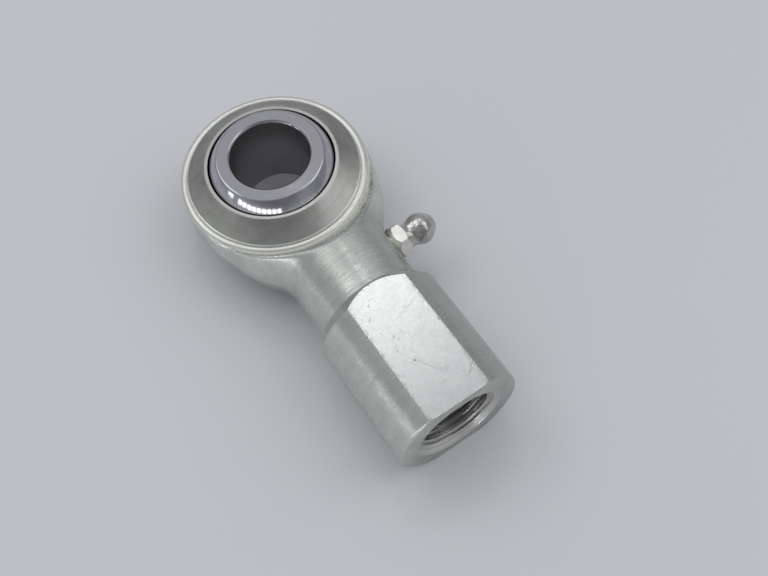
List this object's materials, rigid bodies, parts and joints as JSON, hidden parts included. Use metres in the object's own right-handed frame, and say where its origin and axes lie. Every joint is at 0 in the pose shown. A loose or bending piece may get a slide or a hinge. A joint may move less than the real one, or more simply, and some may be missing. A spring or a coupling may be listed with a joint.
{
  "type": "rod end bearing",
  "caption": "Female rod end: a swivelling ball with a through bore held in a round head, a threaded shank with wrench flats, and a side grease fitting.",
  "frame": {"origin": "centre of the part's box at its lowest level, which is the lower wrench flat", "axes": "+X along the shank towards the tapped end; +Y the way the grease fitting points; +Z along the ball's bore, upwards"},
  "size_m": [0.0826, 0.0394, 0.0222],
  "materials": {
    "zinc_plated_steel": "low carbon steel, clear zinc plated, turned",
    "hard_chromed_ball": "ground and hard chromed ball, satin faces",
    "plated_fitting": "zinc plated steel, turned",
    "bright_steel": "polished ball",
    "spring_wire": "drawn spring wire"
  },
  "bodies": {
    "housing": {"rod_end_body": "zinc_plated_steel", "grease_fitting_body": "plated_fitting", "check_spring": "spring_wire", "spring_retainer": "plated_fitting"},
    "swivel_ball": {"ball": "hard_chromed_ball"},
    "check": {"check_ball": "bright_steel"}
  },
  "joints": [
    {"name": "ball_tilt", "type": "hinge", "parent": "housing", "child": "swivel_ball", "pos_m": [-0.02223, -0.00063, 0.01111], "axis": [0, 1, 0], "range_deg": [-11.5, 11.5]},
    {"name": "check_ball_slide", "type": "slide", "parent": "housing", "child": "check", "axis": [0, -1, 0], "range_m": [0, 0.0008], "stiffness_N_per_m": 200, "springref_m": -0.002, "deforming": ["check_spring"]}
  ]
}
